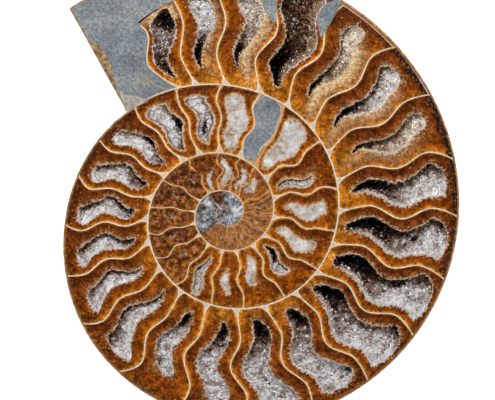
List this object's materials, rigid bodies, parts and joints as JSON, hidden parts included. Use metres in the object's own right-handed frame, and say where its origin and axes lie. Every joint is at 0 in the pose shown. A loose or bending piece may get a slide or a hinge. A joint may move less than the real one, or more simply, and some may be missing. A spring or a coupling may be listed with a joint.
{
  "type": "ammonite fossil",
  "caption": "Sawn and polished half of an ammonite, lying on its flank: a flat cut face with wavy chamber walls, brown calcite and open hollows lined with crystals.",
  "frame": {"origin": "middle of the bounding box, at the level of the surface that the flank rests on", "axes": "+Z is the outward normal of the cut face, +Y runs along the longest side, with the aperture's broken edge at -X +Y"},
  "size_m": [0.107, 0.1238, 0.0185],
  "materials": {
    "brown_calcite": "polished",
    "grey_mudstone": "polished, matt",
    "white_crystals": "sparkling druse"
  },
  "bodies": {
    "root": {"shell": "brown_calcite", "mudstone_plug": "grey_mudstone", "mudstone_chamber": "grey_mudstone", "crystal_crust_01": "white_crystals", "crystal_crust_02": "white_crystals", "crystal_crust_03": "white_crystals", "crystal_crust_04": "white_crystals", "crystal_crust_05": "white_crystals", "crystal_crust_06": "white_crystals", "crystal_crust_07": "white_crystals", "crystal_crust_08": "white_crystals", "crystal_crust_09": "white_crystals", "crystal_crust_10": "white_crystals", "crystal_crust_11": "white_crystals", "crystal_crust_12": "white_crystals", "crystal_crust_13": "white_crystals", "crystal_crust_14": "white_crystals", "crystal_crust_15": "white_crystals", "crystal_crust_16": "white_crystals", "crystal_crust_17": "white_crystals", "crystal_crust_18": "white_crystals", "crystal_crust_19": "white_crystals", "crystal_crust_20": "white_crystals", "crystal_crust_21": "white_crystals", "crystal_crust_22": "white_crystals", "crystal_crust_23": "white_crystals", "crystal_crust_24": "white_crystals", "crystal_crust_25": "white_crystals", "crystal_crust_26": "white_crystals"}
  },
  "joints": []
}
